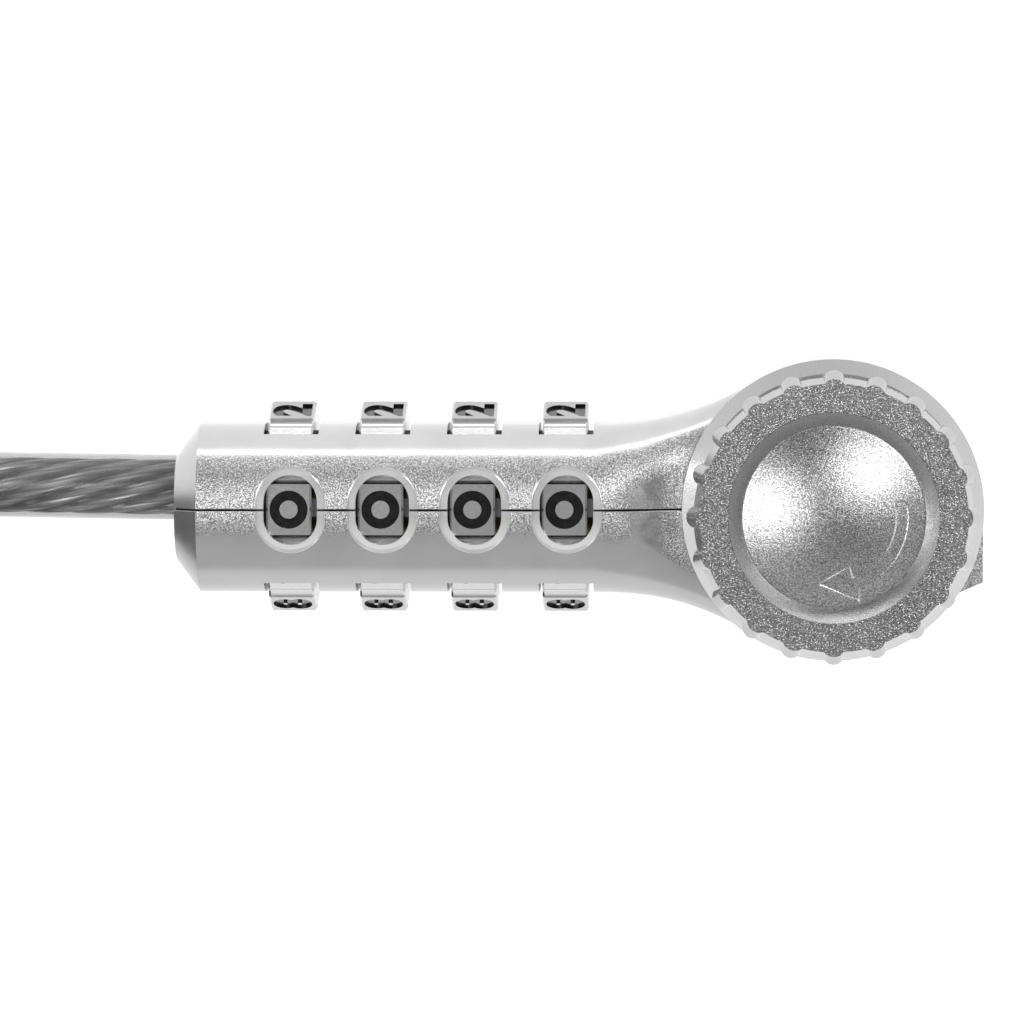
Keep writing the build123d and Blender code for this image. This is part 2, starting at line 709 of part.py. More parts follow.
with BuildPart() as coil_ties:
    for angle in TIE_ANGLES:
        start = Plane(
            origin=(COIL_CENTRE_X, coil_y, 0),
            x_dir=(cos(radians(angle)), sin(radians(angle)), 0),
            z_dir=(sin(radians(angle)), -cos(radians(angle)), 0),
        )
        with BuildSketch(start):
            with Locations((COIL_R, TIE_THICK + coil_height / 2)):
                RectangleRounded(coil_width + 2 * TIE_THICK, coil_height + 2 * TIE_THICK, 3.2)
                RectangleRounded(coil_width, coil_height, 2.6, mode=Mode.SUBTRACT)
        revolve(axis=COIL_AXIS, revolution_arc=TIE_SPAN)

SLEEVE_Y = CABLE_Y - CABLE_D / 2
SLEEVE_FRAME = Plane(origin=(SLEEVE_X, SLEEVE_Y, SLEEVE_HEIGHT / 2), x_dir=(0, -1, 0), z_dir=(-1, 0, 0))

with BuildPart() as loop_sleeve:
    with BuildSketch(SLEEVE_FRAME):
        SlotOverall(2 * CABLE_D + 2.0, SLEEVE_HEIGHT)
    extrude(amount=SLEEVE_LENGTH)

# Both ends of the loop leave the sleeve side by side and run round a teardrop eye
EYE_HALF = CABLE_D / 2 + 0.1
eye_angle = atan2(EYE_HALF, -EYE_REACH) - acos(EYE_R / sqrt(EYE_REACH**2 + EYE_HALF**2))
eye_x = EYE_REACH + EYE_R * cos(eye_angle)
eye_y = EYE_R * sin(eye_angle)
EYE_FRAME = Plane(
    origin=(SLEEVE_X - SLEEVE_LENGTH, SLEEVE_Y, SLEEVE_HEIGHT / 2),
    x_dir=(-1, 0, 0),
    z_dir=(0, 0, -1),
)

with BuildPart() as loop_eye:
    with BuildLine(EYE_FRAME) as eye_line:
        Line((0, EYE_HALF), (eye_x, eye_y))
        ThreePointArc((eye_x, eye_y), (EYE_REACH + EYE_R, 0), (eye_x, -eye_y))
        Line((eye_x, -eye_y), (0, -EYE_HALF))
    with BuildSketch(Plane(origin=eye_line.line @ 0, z_dir=eye_line.line % 0)):
        Circle(CABLE_D / 2)
    sweep()
    # Square the two ends against the sleeve
    split(bisect_by=Plane(origin=EYE_FRAME.origin, z_dir=(-1, 0, 0)), keep=Keep.TOP)

# ---------------------------------------------------------------- lengths and files

# Eleven turns in the twelve places of the bundle: five in the outer column, six in the inner
outer_turns = COIL_HIGH - 1
turns = 2 * pi * (outer_turns * outer_column + COIL_HIGH * (outer_column - TURN_PITCH))
straight = CABLE_START - SLEEVE_X
print("cable from ferrule to sleeve", round(turns + straight), "mm")
tube_length = sum(edge.length for edge in cable_line.edges())
print("tube volume / (section x length)",
      round(cable.part.volume / (pi * CABLE_D**2 / 4 * tube_length), 4))
print("tube radii", [round(r, 1) for r in radii], "turns", outer_column - TURN_PITCH, outer_column)

save(upper_shell, "upper_shell")
save(lower_shell, "lower_shell")
save(head_collar, "head_collar")
save(knob_washer, "knob_washer")
save(shell_dowels, "shell_dowels")
save(collar_rivets, "collar_rivets")
save(nose_block, "nose_block")
save(anchor_pins, "anchor_pins")
save(dial_tube, "dial_tube")
save(detent_spring, "detent_spring")
save(spring_stop, "spring_stop")
save(bolt_spring, "bolt_spring")
save(cable_ferrule, "cable_ferrule")
for number, dial in enumerate(dials, start=1):
    save(dial, f"dial_{number}")
for number, gate_ring in enumerate(gate_rings, start=1):
    save(gate_ring, f"gate_ring_{number}")
save(locking_bolt, "locking_bolt")
save(lock_cam, "lock_cam")
save(spindle, "spindle")
save(spindle_clip, "spindle_clip")
save(knob, "knob")
save(knob_cap, "knob_cap")
save(knob_screw, "knob_screw")
save(reset_screw, "reset_screw")
save(cable, "cable")
save(cable_coil, "cable_coil")
save(coil_ties, "coil_ties")
save(loop_sleeve, "loop_sleeve")
save(loop_eye, "loop_eye")
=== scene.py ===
"""Looks of the combination cable lock: metres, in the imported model's frame.

The barrel runs along X, its dials face +Z, and the cable leaves towards -X to a tied coil and a
crimped loop.
"""

import bmesh
import bpy
import json
from math import cos, floor, pi, radians, sin, sqrt, tan
from mathutils import Matrix, Vector

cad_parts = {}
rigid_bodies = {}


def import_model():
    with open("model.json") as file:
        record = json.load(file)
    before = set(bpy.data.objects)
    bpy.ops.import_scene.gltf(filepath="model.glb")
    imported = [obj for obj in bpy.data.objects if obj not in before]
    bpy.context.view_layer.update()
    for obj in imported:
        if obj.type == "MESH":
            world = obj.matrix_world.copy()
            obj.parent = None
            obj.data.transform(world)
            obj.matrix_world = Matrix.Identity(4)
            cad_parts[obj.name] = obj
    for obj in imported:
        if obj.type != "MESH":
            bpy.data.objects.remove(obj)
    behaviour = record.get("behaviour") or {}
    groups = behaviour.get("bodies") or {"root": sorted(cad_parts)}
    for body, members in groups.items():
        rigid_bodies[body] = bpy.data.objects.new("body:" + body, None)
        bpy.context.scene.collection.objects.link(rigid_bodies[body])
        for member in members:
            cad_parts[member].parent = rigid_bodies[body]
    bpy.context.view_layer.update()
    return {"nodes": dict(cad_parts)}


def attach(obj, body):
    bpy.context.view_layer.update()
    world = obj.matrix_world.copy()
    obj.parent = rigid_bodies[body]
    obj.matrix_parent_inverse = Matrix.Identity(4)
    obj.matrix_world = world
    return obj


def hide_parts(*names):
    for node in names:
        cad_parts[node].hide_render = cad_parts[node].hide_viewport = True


for leftover in list(bpy.data.objects):
    bpy.data.objects.remove(leftover)
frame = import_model()
nodes = frame["nodes"]
scene = bpy.context.scene

MM = 0.001

# Places that the CAD model shares, in millimetres
AXIS_Y = 0.5
AXIS_Z = 14.2
DIAL_X = [-45.5, -37.81, -30.12, -22.43]
DIAL_APOTHEM = 8.62
WINDOW_SHIFT = 0.2
CABLE_D = 5.5
COIL_CENTRE = (-111.0, -28.625)
TURN_PITCH = 5.55
OUTER_COLUMN = 30.775
FIRST_LAYER = 3.375
COIL_TOP = 33.9
SLEEVE_X = -137.2
SLEEVE_LENGTH = 15.0
SLEEVE_Y = -0.6
SLEEVE_Z = 3.2


def new_object(name, data, body=None):
    """Link an object that holds data, and make it ride on a body if one is given."""
    made = bpy.data.objects.new(name, data)
    scene.collection.objects.link(made)
    if body:
        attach(made, body)
    return made


# ---------------------------------------------------------------- materials


class Finish:
    """A material with its Principled shader, and short ways to add nodes to it."""

    def __init__(self, name):
        self.material = bpy.data.materials.new(name)
        self.material.use_nodes = True
        self.tree = self.material.node_tree
        self.shader = self.tree.nodes["Principled BSDF"]
        self.place = self.node("ShaderNodeTexCoord").outputs["Object"]

    def node(self, kind, **values):
        """A new node, with its settings or input values given by name."""
        made = self.tree.nodes.new(kind)
        for key, value in values.items():
            if hasattr(made, key):
                setattr(made, key, value)
            else:
                made.inputs[key.replace("_", " ").title()].default_value = value
        return made

    def link(self, source, target):
        """Join an output to an input."""
        self.tree.links.new(source, target)

    def noise(self, size, detail=2.0, roughness=0.5, place=None):
        """Noise of a feature size in millimetres."""
        made = self.node("ShaderNodeTexNoise", scale=1 / (size * MM), detail=detail)
        made.inputs["Roughness"].default_value = roughness
        self.link(place or self.place, made.inputs["Vector"])
        return made.outputs["Fac"]

    def ramp(self, source, stops):
        """A colour ramp with (position, grey or colour) stops."""
        made = self.node("ShaderNodeValToRGB")
        self.link(source, made.inputs["Fac"])
        ramp = made.color_ramp
        while len(ramp.elements) < len(stops):
            ramp.elements.new(0.5)
        for element, (position, colour) in zip(ramp.elements, stops):
            element.position = position
            shade = colour if isinstance(colour, tuple) else (colour,) * 3
            element.color = (*shade, 1.0)
        return made.outputs["Color"]

    def mix(self, share, a, b):
        """Colour a where share is 0 and colour b where it is 1."""
        made = self.node("ShaderNodeMix", data_type="RGBA")
        for name, source in (("Factor", share), ("A", a), ("B", b)):
            # The first socket of each name is the number's, the last the colour's
            sockets = [socket for socket in made.inputs if socket.name == name and socket.enabled]
            self.link(source, sockets[0])
        return [socket for socket in made.outputs if socket.enabled][0]

    def math(self, operation, a, b=0.0):
        """A sum of numbers or outputs. An operation on one number ignores b."""
        made = self.node("ShaderNodeMath")
        made.operation = operation
        for socket, value in zip(made.inputs, (a, b)):
            if isinstance(value, (int, float)):
                socket.default_value = value
            else:
                self.link(value, socket)
        return made.outputs[0]

    def between(self, share, a, b):
        """A number that goes from a to b as share goes from 0 to 1."""
        made = self.node("ShaderNodeMapRange")
        self.link(share, made.inputs["Value"])
        made.inputs["To Min"].default_value = a
        made.inputs["To Max"].default_value = b
        return made.outputs["Result"]

    def bump(self, height, distance, strength=1.0):
        """Bump of a height in millimetres on the shader's normal."""
        made = self.node("ShaderNodeBump")
        made.inputs["Distance"].default_value = distance * MM
        if isinstance(strength, (int, float)):
            made.inputs["Strength"].default_value = strength
        else:
            self.link(strength, made.inputs["Strength"])
        self.link(height, made.inputs["Height"])
        self.link(made.outputs["Normal"], self.shader.inputs["Normal"])

    def set(self, name, value):
        """Put a number, a colour or a node's output on one of the shader's inputs."""
        socket = self.shader.inputs[name]
        if isinstance(value, bpy.types.NodeSocket):
            self.link(value, socket)
        elif isinstance(value, tuple):
            socket.default_value = (*value, 1.0)
        else:
            socket.default_value = value


GRAIN_SIZE = 0.11
# Painted highlight: the smooth window ledges are painted lighter than the rest of the shell.
LEDGE_HIGHLIGHT_TONE = 0.74
LEDGE_REACH = 2.92  # from a window's middle line to just inside its ledge's outer edge
LEDGE_STRAIGHT = 0.7  # half the straight part of a window's sides
SEAM_SHADE_HALF_WIDTH = 0.085  # of the painted shade line in the seam's groove


def plated(name, dark, light, side, rough, grain, top=None, shell=False):
    """Satin plating over a die-cast part.

    Faces that look up or down carry a speckled grain of dark and light; the sides are smooth and
    of the tone side. Above the height top, in millimetres, the plating is darker and sparkles.
    A shell's grain leans towards +Y. It has smooth ledges round its windows with a painted
    highlight, painted shade on its -Y side and a painted shade line along its seam.
    """
    finish = Finish(name)
    cloud = finish.noise(4.0, 3.0)
    fine = finish.noise(GRAIN_SIZE, 3.0, 0.65)
    normal = finish.node("ShaderNodeSeparateXYZ")
    finish.link(finish.node("ShaderNodeTexCoord").outputs["Normal"], normal.inputs["Vector"])
    place = finish.node("ShaderNodeSeparateXYZ")
    finish.link(finish.place, place.inputs["Vector"])
    facing = finish.math("ABSOLUTE", normal.outputs["Z"])
    if shell:
        facing = finish.math("ADD", facing, finish.math("MULTIPLY", normal.outputs["Y"], 0.20))
    share = finish.node("ShaderNodeMapRange", interpolation_type="SMOOTHSTEP")
    finish.link(facing, share.inputs["Value"])
    share.inputs["From Min"].default_value = 0.88 if shell else 0.50
    share.inputs["From Max"].default_value = 0.94 if shell else 0.85
    grainy = share.outputs["Result"]
    if shell:
        ledge = window_ledge(finish, place)
        grainy = finish.math("MULTIPLY", grainy, finish.math("SUBTRACT", 1.0, ledge))
    middle = (dark + light) / 2
    speckle = finish.ramp(fine, [(0.38, dark), (0.5, middle), (0.62, light)])
    smooth = finish.ramp(cloud, [(0.3, side * 0.96), (0.7, side * 1.05)])
    if shell:
        # Painted shade: the smooth sides that face -Y are painted darker than the other sides.
        minus_y_shade = finish.ramp(cloud, [(0.3, side * 0.78), (0.7, side * 0.86)])
        smooth = finish.mix(finish.math("LESS_THAN", normal.outputs["Y"], 0.0), smooth, minus_y_shade)
    # Faces that look up or down and the sides take separate tones; on the dials the much lighter
    # up-facing faces are painted light.
    tone = finish.mix(grainy, smooth, speckle)
    if shell:
        # The ledges are really smooth and free of grain; their lighter tone is a painted
        # highlight.
        ledge_highlight = finish.ramp(cloud, [(0.3, LEDGE_HIGHLIGHT_TONE), (0.7, LEDGE_HIGHLIGHT_TONE * 1.08)])
        tone = finish.mix(ledge, tone, ledge_highlight)
        # Painted shade: a near-black line along the groove between the two shells.
        in_groove = finish.math("LESS_THAN", from_axis_y(finish, place), SEAM_SHADE_HALF_WIDTH * MM)
        tone = finish.mix(in_groove, tone, finish.ramp(fine, [(0.3, 0.02), (0.7, 0.06)]))
    if top:
        above = finish.math("GREATER_THAN", place.outputs["Z"], top * MM)
        coarse = finish.noise(GRAIN_SIZE, 3.0, 0.7)
        sparks = finish.ramp(coarse, [(0.40, dark * 0.15), (0.54, dark * 0.36), (0.70, light)])
        tone = finish.mix(above, tone, sparks)
    finish.set("Base Color", tone)
    finish.set("Metallic", 0.8 if shell else 1.0)
    finish.set("Roughness", finish.between(cloud, rough - 0.04, rough + 0.06))
    finish.bump(fine, grain, grainy)
    return finish.material


def from_axis_y(finish, place):
    """Distance in Y from the barrel's middle plane."""
    aside = finish.math("SUBTRACT", place.outputs["Y"], AXIS_Y * MM)
    return finish.math("ABSOLUTE", aside)


def window_ledge(finish, place):
    """1 on the ledges round the barrel's windows and 0 elsewhere."""
    pitch = (DIAL_X[-1] - DIAL_X[0]) / 3
    start = DIAL_X[0] + WINDOW_SHIFT - pitch / 2
    along = finish.math("SUBTRACT", place.outputs["X"], start * MM)
    within = finish.math("MODULO", finish.math("MAXIMUM", along, 0.0), pitch * MM)
    nearest = finish.math("ABSOLUTE", finish.math("SUBTRACT", within, pitch / 2 * MM))
    beyond = finish.math("SUBTRACT", from_axis_y(finish, place), LEDGE_STRAIGHT * MM)
    beyond = finish.math("MAXIMUM", beyond, 0.0)
    squares = [finish.math("POWER", side, 2.0) for side in (nearest, beyond)]
    reach = finish.math("SQRT", finish.math("ADD", *squares))
    inside = finish.math("LESS_THAN", reach, LEDGE_REACH * MM)
    on_barrel = finish.math("LESS_THAN", along, len(DIAL_X) * pitch * MM)
    on_front = finish.math("GREATER_THAN", place.outputs["Z"], (AXIS_Z + 7.0) * MM)
    return finish.math("MULTIPLY", inside, finish.math("MULTIPLY", on_barrel, on_front))


def turned(name, tone, rough, axis):
    """Bright machined metal with fine tool marks around an axis (0, 1 or 2)."""
    finish = Finish(name)
    stretch = finish.node("ShaderNodeMapping")
    scale = [1.0, 1.0, 1.0]
    scale[axis] = 12.0
    stretch.inputs["Scale"].default_value = scale
    finish.link(finish.place, stretch.inputs["Vector"])
    marks = finish.noise(0.6, 4.0, 0.6, stretch.outputs["Vector"])
    cloud = finish.noise(3.0, 2.0)
    low = tuple(c * 0.82 for c in tone)
    finish.set("Base Color", finish.ramp(cloud, [(0.35, low), (0.65, tone)]))
    finish.set("Metallic", 1.0)
    finish.set("Roughness", finish.between(marks, rough - 0.06, rough + 0.1))
    finish.bump(marks, 0.006)
    return finish.material


shell_plating = plated("shell_plating", 0.15, 0.60, 0.47, 0.22, 0.035, shell=True)
collar_plating = plated("collar_plating", 0.84, 0.90, 0.50, 0.08, 0.003)
knob_plating = plated("knob_plating", 0.62, 0.80, 0.40, 0.20, 0.03, top=27.15)
cap_plating = plated("cap_plating", 0.14, 0.54, 0.98, 0.18, 0.022)
# Painted light: the dials' faces that look up or down are painted far lighter than their sides.
dial_plating = plated("dial_plating", 0.80, 0.88, 0.34, 0.14, 0.006)
spindle_steel = turned("spindle_steel", (0.62, 0.61, 0.59), 0.26, 2)
bright_steel = turned("bright_steel", (0.58, 0.57, 0.55), 0.3, 0)
screw_steel = turned("screw_steel", (0.56, 0.55, 0.53), 0.28, 1)
spring_wire = turned("spring_wire", (0.42, 0.42, 0.43), 0.3, 0)
ring_brass = turned("ring_brass", (0.34, 0.27, 0.18), 0.3, 0)


def digit_paint():
    """Glossy black enamel in the engraved digits."""
    finish = Finish("digit_paint")
    cloud = finish.noise(0.5, 3.0)
    finish.set("Base Color", finish.ramp(cloud, [(0.3, 0.003), (0.7, 0.012)]))
    finish.set("Roughness", finish.between(cloud, 0.08, 0.2))
    finish.set("Specular IOR Level", 0.4)
    finish.bump(cloud, 0.02)
    return finish.material


def jacket_vinyl():
    """Clear grey vinyl over the strands."""
    finish = Finish("cable_jacket")
    cloud = finish.noise(1.5, 3.0)
    finish.set("Base Color", finish.ramp(cloud, [(0.3, 0.14), (0.7, 0.20)]))
    finish.set("Roughness", finish.between(cloud, 0.12, 0.26))
    finish.set("Alpha", 0.42)
    finish.set("IOR", 1.45)
    finish.bump(cloud, 0.02)
    return finish.material


def strand_steel():
    """Galvanised wires twisted into strands, with painted shade in the grooves between strands
    and between wires, and broken bright wires.
    """
    finish = Finish("strand_steel")
    lay = finish.node("ShaderNodeUVMap", uv_map="lay").outputs["UV"]
    parts = finish.node("ShaderNodeSeparateXYZ")
    finish.link(lay, parts.inputs["Vector"])
    across = finish.math("FRACT", parts.outputs["Y"])
    # Wires cross each strand at a slant
    slant = finish.math("ADD", finish.math("MULTIPLY", parts.outputs["Y"], 3.0),
                        finish.math("MULTIPLY", parts.outputs["X"], -0.42))
    wire = finish.math("PINGPONG", slant, 0.5)
    wire_round = finish.math("MULTIPLY", wire, 2.0)
    edge = finish.math("MULTIPLY", finish.math("PINGPONG", across, 0.5), 2.0)
    # Painted shade: the grooves between the strands are painted dark.
    groove_shade = finish.ramp(edge, [(0.0, 0.03), (0.35, 0.20), (1.0, 0.46)])
    grit = finish.noise(0.5, 3.0)
    shade = finish.node("ShaderNodeMix", data_type="RGBA", blend_type="MULTIPLY")
    shade.inputs["Factor"].default_value = 1.0
    finish.link(groove_shade, shade.inputs["A"])
    # Painted shade: the valleys between the wires are painted darker than their crowns.
    finish.link(finish.ramp(wire_round, [(0.0, 0.45), (0.5, 1.0)]), shade.inputs["B"])
    finish.set("Base Color", shade.outputs["Result"])
    finish.set("Metallic", 0.9)
    finish.set("Roughness", finish.between(grit, 0.2, 0.42))
    finish.bump(wire_round, 0.16)
    return finish.material


def sleeve_alloy():
    """Soft aluminium with tool scuffs."""
    finish = Finish("sleeve_alloy")
    cloud = finish.noise(2.0, 4.0)
    stretch = finish.node("ShaderNodeMapping")
    stretch.inputs["Scale"].default_value = (0.25, 1.0, 3.0)
    finish.link(finish.place, stretch.inputs["Vector"])
    scuff = finish.noise(0.5, 5.0, 0.65, stretch.outputs["Vector"])
    finish.set("Base Color", finish.ramp(cloud, [(0.3, (0.60, 0.605, 0.61)), (0.7, 0.76)]))
    finish.set("Metallic", 1.0)
    finish.set("Roughness", finish.between(scuff, 0.3, 0.5))
    finish.bump(scuff, 0.03)
    return finish.material


def strap_fabric():
    """Black woven hook-and-loop strap."""
    finish = Finish("strap_fabric")
    weave = finish.node("ShaderNodeTexVoronoi", scale=1 / (0.5 * MM))
    finish.link(finish.place, weave.inputs["Vector"])
    fluff = finish.noise(0.25, 4.0, 0.7)
    tones = finish.math("MULTIPLY", weave.outputs["Distance"], fluff)
    finish.set("Base Color", finish.ramp(tones, [(0.1, 0.05), (0.5, 0.012)]))
    finish.set("Roughness", 0.9)
    finish.set("Sheen Weight", 0.4)
    finish.bump(tones, 0.22)
    return finish.material


paint = digit_paint()
jacket = jacket_vinyl()
strand = strand_steel()
alloy = sleeve_alloy()
strap = strap_fabric()

# ---------------------------------------------------------------- camera


def aim(thing, place, target, up):
    """Put a camera or lamp at place, looking at target, with up as its upward direction."""
    back = (Vector(place) - Vector(target)).normalized()
    right = Vector(up).cross(back).normalized()
    turn = Matrix((right, back.cross(right), back)).transposed().to_4x4()
    thing.matrix_world = Matrix.Translation(Vector(place)) @ turn


camera_data = bpy.data.cameras.new("camera")
camera_data.lens = 237.3
camera_data.sensor_width = 36.0
camera_data.clip_start = 0.05
camera_data.clip_end = 5.0
camera = new_object("camera", camera_data)
aim(camera, (-0.01153, 0.02194, 0.5862), (-0.02704, -0.00001, 0.0142), (0, 1, 0))
scene.camera = camera

# ---------------------------------------------------------------- the cable's line

# Straight out of the barrel, then down to the second layer of the coil
LEAD = [
    (-53.4, 2.05, 14.2),
    (-65.0, 2.2, 14.2),
    (-80.4, 2.3, 8.925),
    (-91.96, 2.15, 8.925),
]
TURNS = 11
POINTS_PER_TURN = 24
# Column (0 outer, 1 inner) and layer of the twelve places in the bundle, in winding order
PLACES = [(0, n) for n in range(1, 6)] + [(1, n) for n in range(5, -1, -1)] + [(0, 0)]


def shift_share(turn, share):
    """How far the cable has moved to its next place, share being its way round this turn."""
    start = 0.7
    if turn == 4:
        start = 0.5
    elif turn == 10:
        start = 0.1
    elif turn > 4:
        start = 0.3
    along = min(1.0, max(0.0, (share - start) / 0.2))
    return along * along * (3 - 2 * along)


def coil_points():
    """Control points of the wound turns, on a polygon around the cable's circles."""
    points = []
    grow = 1 / cos(pi / POINTS_PER_TURN)
    for index in range(-1, TURNS * POINTS_PER_TURN):
        way = (index + 0.5) / POINTS_PER_TURN
        turn = max(0, floor(way))
        share = shift_share(turn, way - turn)
        column = PLACES[turn][0] * (1 - share) + PLACES[turn + 1][0] * share
        layer = PLACES[turn][1] * (1 - share) + PLACES[turn + 1][1] * share
        radius = (OUTER_COLUMN - TURN_PITCH * column) * grow
        angle = radians(90) + 2 * pi * way
        points.append((
            COIL_CENTRE[0] + radius * cos(angle),
            COIL_CENTRE[1] + radius * sin(angle),
            FIRST_LAYER + TURN_PITCH * layer,
        ))
    return points


def nurbs_line(name, points, bevel):
    """Curve data of one smooth open spline with these control points, in millimetres."""
    data = bpy.data.curves.new(name, "CURVE")
    data.dimensions = "3D"
    spline = data.splines.new("NURBS")
    spline.points.add(len(points) - 1)
    for point, place in zip(spline.points, points):
        point.co = (*(Vector(place) * MM), 1.0)
    spline.order_u = 3
    spline.use_endpoint_u = True
    data.resolution_u = 12
    data.bevel_depth = bevel
    data.bevel_resolution = 6
    data.use_fill_caps = True
    return data


def line_points(data):
    """The points along a curve's own line, in order, in metres."""
    bare = data.copy()
    bare.bevel_depth = 0.0
    probe = bpy.data.objects.new("probe", bare)
    mesh = bpy.data.meshes.new_from_object(probe)
    points = [v.co.copy() for v in mesh.vertices]
    bpy.data.objects.remove(probe)
    bpy.data.meshes.remove(mesh)
    bpy.data.curves.remove(bare)
    return points


CABLE_R = CABLE_D / 2 * MM
cable_data = nurbs_line(
    "cable_jacket",
    LEAD + coil_points() + [(-122.0, 2.15, FIRST_LAYER), (SLEEVE_X, 2.15, FIRST_LAYER)],
    CABLE_R,
)
cable_data.materials.append(jacket)
cable_jacket = new_object("cable_jacket", cable_data, "housing")
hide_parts("cable", "cable_coil")

# The loop runs round a teardrop and back into the sleeve
EYE_CENTRE_X = -184.2
EYE_R = 16.0
EYE_HALF = 2.85
EYE_STEPS = 8
EYE_TANGENT = 114.8  # degrees from -X where the straight runs meet the round end


def eye_points():
    """Control points of the loop, from inside the sleeve round the eye and back."""
    step = 2 * EYE_TANGENT / EYE_STEPS
    radius = EYE_R / cos(radians(step / 2))
    points = [(SLEEVE_X + 0.8, SLEEVE_Y + EYE_HALF, SLEEVE_Z)]
    points.append((SLEEVE_X - SLEEVE_LENGTH - 1, SLEEVE_Y + EYE_HALF, SLEEVE_Z))
    for index in range(EYE_STEPS):
        angle = radians(180 - EYE_TANGENT + step * (index + 0.5))
        points.append((
            EYE_CENTRE_X + radius * cos(angle),
            SLEEVE_Y + radius * sin(angle),
            SLEEVE_Z,
        ))
    points.append((SLEEVE_X - SLEEVE_LENGTH - 1, SLEEVE_Y - EYE_HALF, SLEEVE_Z))
    points.append((SLEEVE_X + 0.8, SLEEVE_Y - EYE_HALF, SLEEVE_Z))
    return points


eye_data = nurbs_line("loop_jacket", eye_points(), CABLE_R)
eye_data.materials.append(jacket)
loop_jacket = new_object("loop_jacket", eye_data, "housing")
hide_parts("loop_eye")

# ---------------------------------------------------------------- twisted steel strands

STRANDS = 9
STRAND_LAY = 36.0 * MM
STRAND_STEP = 1.2 * MM
STRAND_SIDES = 6
STRAND_R = 2.36 * MM
STRAND_GROOVE = 0.42 * MM


def resample(points, step):
    """Points every step along a line of points."""
    made = [points[0]]
    left = step
    for a, b in zip(points, points[1:]):
        length = (b - a).length
        done = 0.0
        while length - done >= left:
            done += left
            made.append(a.lerp(b, done / length))
            left = step
        left -= length - done
    return made


def strand_mesh(name, points):
    """A rope of twisted strands along a line: a fluted section that turns as it goes."""
    points = resample(points, STRAND_STEP)
    around = STRANDS * STRAND_SIDES
    mesh = bpy.data.meshes.new(name)
    vertices, faces, texture = [], [], []
    forward = (points[1] - points[0]).normalized()
    side = forward.orthogonal().normalized()
    for index, point in enumerate(points):
        ahead = points[min(index + 1, len(points) - 1)] - points[max(index - 1, 0)]
        forward = ahead.normalized()
        side = (side - forward * side.dot(forward)).normalized()
        other = forward.cross(side)
        twist = -2 * pi * index * STRAND_STEP / STRAND_LAY
        for k in range(around):
            phase = k / STRAND_SIDES % 1.0
            dip = 1 - sqrt(max(0.0, 1 - (2 * phase - 1) ** 2))
            radius = STRAND_R - STRAND_GROOVE * dip
            angle = 2 * pi * k / around + twist
            vertices.append(point + (side * cos(angle) + other * sin(angle)) * radius)
    for ring in range(len(points) - 1):
        for k in range(around):
            a = ring * around + k
            b = ring * around + (k + 1) % around
            faces.append((a, b, b + around, a + around))
            for corner_ring, corner_k in ((0, k), (0, k + 1), (1, k + 1), (1, k)):
                texture.append((
                    (ring + corner_ring) * STRAND_STEP / MM,
                    corner_k / STRAND_SIDES,
                ))
    last = (len(points) - 1) * around
    faces.append(tuple(reversed(range(around))))
    faces.append(tuple(last + k for k in range(around)))
    texture += [(0.0, 0.5)] * (2 * around)
    mesh.from_pydata(vertices, [], faces)
    layer = mesh.uv_layers.new(name="lay")
    for item, place in zip(layer.data, texture):
        item.uv = place
    mesh.polygons.foreach_set("use_smooth", [True] * len(mesh.polygons))
    mesh.validate()
    return mesh


cable_strands = new_object(
    "cable_strands", strand_mesh("cable_strands", line_points(cable_data)), "housing"
)
loop_strands = new_object(
    "loop_strands", strand_mesh("loop_strands", line_points(eye_data)), "housing"
)

# ---------------------------------------------------------------- sleeve and ties


def face_outward(mesh):
    """Turn a closed mesh's faces so that they all face outwards."""
    made = bmesh.new()
    made.from_mesh(mesh)
    bmesh.ops.recalc_face_normals(made, faces=made.faces)
    made.to_mesh(mesh)
    made.free()


def lofted(name, rings):
    """A mesh through rings of points, each ring closed, with flat ends."""
    mesh = bpy.data.meshes.new(name)
    around = len(rings[0])
    faces = []
    for ring in range(len(rings) - 1):
        for k in range(around):
            a = ring * around + k
            b = ring * around + (k + 1) % around
            faces.append((a, b, b + around, a + around))
    faces.append(tuple(reversed(range(around))))
    faces.append(tuple((len(rings) - 1) * around + k for k in range(around)))
    mesh.from_pydata([p for ring in rings for p in ring], [], faces)
    mesh.update()
    face_outward(mesh)
    return mesh


def shade_smooth(mesh, angle):
    """Smooth shading, with edges sharper than angle kept crisp."""
    mesh.polygons.foreach_set("use_smooth", [True] * len(mesh.polygons))
    mesh.set_sharp_from_angle(angle=radians(angle))


SLEEVE_HALF_WIDTH = 6.5
SLEEVE_R = 3.2
CRIMPS = (2.9, 7.5, 12.1)  # along the sleeve
SLEEVE_SIDES = 48


def sleeve_ring(along):
    """One section of the crimped sleeve: a flattened oval, pinched where the tool pressed."""
    ring = []
    press = sum(0.13 / (1 + ((along - crimp) / 0.75) ** 6) for crimp in CRIMPS)
    edge = min(along, SLEEVE_LENGTH - along)
    rim = 0.55 * (1 - sqrt(max(0.0, 1 - (1 - min(edge, 0.55) / 0.55) ** 2)))
    for k in range(SLEEVE_SIDES):
        angle = 2 * pi * k / SLEEVE_SIDES
        straight = SLEEVE_HALF_WIDTH - SLEEVE_R
        y = (SLEEVE_R - rim) * cos(angle) + straight * max(-1.0, min(1.0, 2.2 * cos(angle)))
        z = (SLEEVE_R - rim) * sin(angle)
        z *= 1 - press - 0.07 * max(0.0, 1 - (y / 2.4) ** 2)
        y *= 1 + 0.25 * press
        ring.append(Vector((SLEEVE_X - along, SLEEVE_Y + y, SLEEVE_Z + z)) * MM)
    return ring


